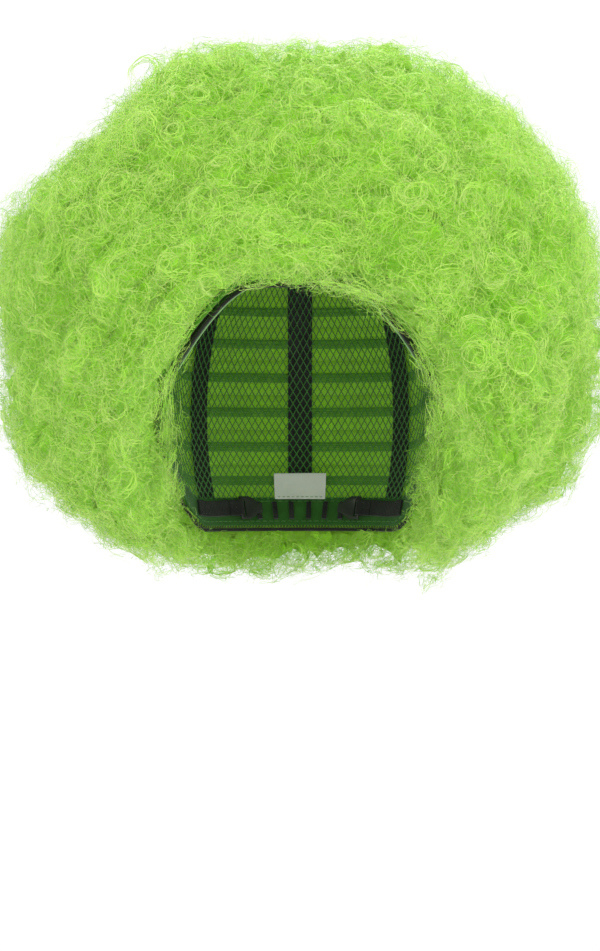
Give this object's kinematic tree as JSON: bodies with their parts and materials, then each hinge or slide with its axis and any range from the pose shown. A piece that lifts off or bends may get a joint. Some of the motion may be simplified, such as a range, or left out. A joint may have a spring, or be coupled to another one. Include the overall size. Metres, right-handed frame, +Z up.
{
  "type": "costume wig",
  "caption": "Round frizzy costume wig: curly hair in sewn weft rows on a stretch net cap, with edge bands, ear tabs and elastic adjusters hooked at the nape.",
  "frame": {"origin": "centre of the head form, at the height of the eyes and the tops of the ears", "axes": "+Z up, the wearer faces -Y, +X to the wearer's left"},
  "size_m": [0.316, 0.2858, 0.2751],
  "materials": {
    "net": "matte",
    "band": "matte",
    "lining": "matte",
    "edge_elastic": "matte",
    "ribbon": "satin",
    "weft": "matte",
    "hair": "satin",
    "strap_elastic": "matte",
    "hook_plastic": "gloss",
    "label": "satin"
  },
  "bodies": {
    "root": {"crown_net": "net", "crown_patch": "band", "front_band": "band", "nape_band": "band", "side_band_left": "band", "side_band_right": "band", "ear_tab_left": "band", "ear_tab_right": "band", "forehead_lining": "lining", "edge_elastic": "edge_elastic", "ribbon_front": "ribbon", "ribbon_front_left": "ribbon", "ribbon_left": "ribbon", "ribbon_back_left": "ribbon", "ribbon_back": "ribbon", "ribbon_back_right": "ribbon", "ribbon_right": "ribbon", "ribbon_front_right": "ribbon", "weft_track_01": "weft", "weft_track_02": "weft", "weft_track_03": "weft", "weft_track_04": "weft", "weft_track_05": "weft", "weft_track_06": "weft", "weft_track_07": "weft", "weft_track_08": "weft", "weft_track_09": "weft", "weft_track_10": "weft", "weft_track_11": "weft", "weft_track_12": "weft", "weft_hair_01": "hair", "weft_hair_02": "hair", "weft_hair_03": "hair", "weft_hair_04": "hair", "weft_hair_05": "hair", "weft_hair_06": "hair", "weft_hair_07": "hair", "weft_hair_08": "hair", "weft_hair_09": "hair", "weft_hair_10": "hair", "weft_hair_11": "hair", "weft_hair_12": "hair", "crown_hair": "hair", "strap_left": "strap_elastic", "strap_right": "strap_elastic", "loops_left": "strap_elastic", "loops_right": "strap_elastic", "size_label": "label"},
    "strap_end_left": {"strap_end_left": "strap_elastic"},
    "strap_end_right": {"strap_end_right": "strap_elastic"},
    "hook_left": {"hook_left": "hook_plastic"},
    "hook_right": {"hook_right": "hook_plastic"}
  },
  "joints": [
    {"name": "left_strap_stretch", "type": "slide", "parent": "root", "child": "strap_end_left", "axis": [-0.9346, 0.3557, 0], "range_m": [0, 0.018], "stiffness_N_per_m": 60, "deforming": ["strap_left"]},
    {"name": "left_hook_swing", "type": "hinge", "parent": "strap_end_left", "child": "hook_left", "pos_m": [0.03198, 0.07073, -0.05022], "axis": [0.1386, 0.3641, 0.921], "range_deg": [0, 100]},
    {"name": "right_strap_stretch", "type": "slide", "parent": "root", "child": "strap_end_right", "axis": [0.9346, 0.3557, 0], "range_m": [0, 0.018], "stiffness_N_per_m": 60, "deforming": ["strap_right"]},
    {"name": "right_hook_swing", "type": "hinge", "parent": "strap_end_right", "child": "hook_right", "pos_m": [-0.03198, 0.07073, -0.05022], "axis": [0.1386, -0.3641, -0.921], "range_deg": [0, 100]}
  ]
}
